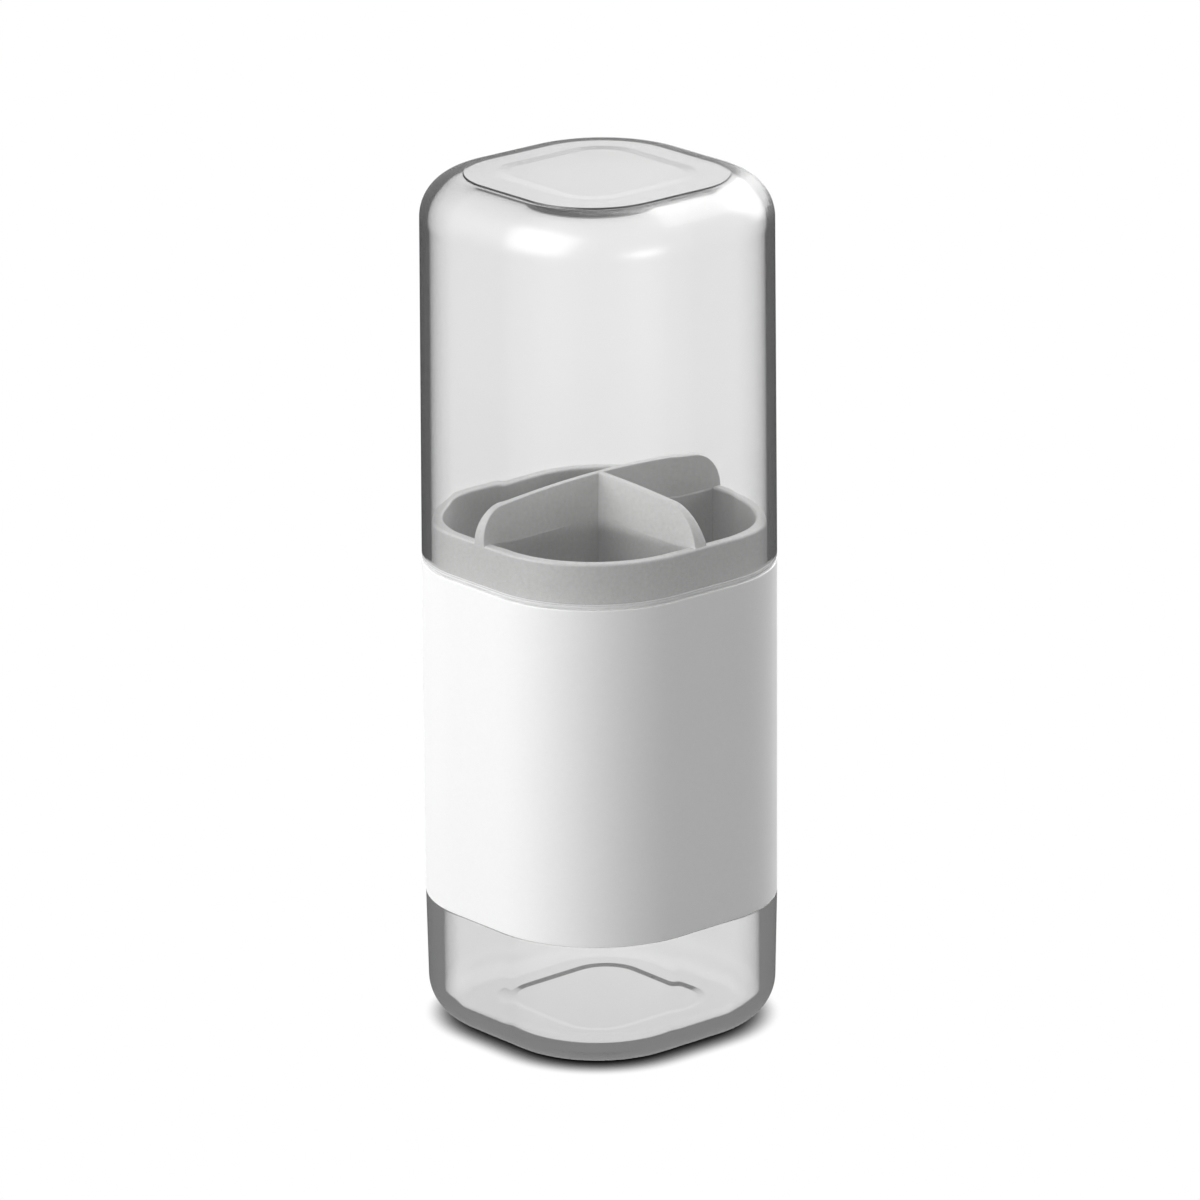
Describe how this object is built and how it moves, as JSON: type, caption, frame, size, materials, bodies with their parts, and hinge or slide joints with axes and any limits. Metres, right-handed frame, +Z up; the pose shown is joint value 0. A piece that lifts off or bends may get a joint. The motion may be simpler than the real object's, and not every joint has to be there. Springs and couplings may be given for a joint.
{
  "type": "toothbrush holder",
  "caption": "Upright square holder with rounded corners: clear base cup, white sleeve, grey divider with three compartments and a clear lift-off cover.",
  "frame": {"origin": "centre of the underside, on the surface that the holder stands on", "axes": "+Z up along the body; the divider's full-width wall runs along Y and its half wall along +X"},
  "size_m": [0.075, 0.075, 0.2041],
  "materials": {
    "clear_plastic": "clear, polished",
    "white_plastic": "fine satin",
    "grey_plastic": "fine matt"
  },
  "bodies": {
    "base_cup": {"base_cup": "clear_plastic"},
    "sleeve": {"sleeve": "white_plastic"},
    "divider_insert": {"divider_insert": "grey_plastic"},
    "cover": {"cover": "clear_plastic"}
  },
  "joints": [
    {"name": "sleeve_lift", "type": "slide", "parent": "base_cup", "child": "sleeve", "axis": [0, 0, 1], "range_m": [0, 0.085]},
    {"name": "divider_lift", "type": "slide", "parent": "sleeve", "child": "divider_insert", "axis": [0, 0, 1], "range_m": [0, 0.04]},
    {"name": "cover_lift", "type": "slide", "parent": "divider_insert", "child": "cover", "axis": [0, 0, 1], "range_m": [0, 0.1]}
  ]
}
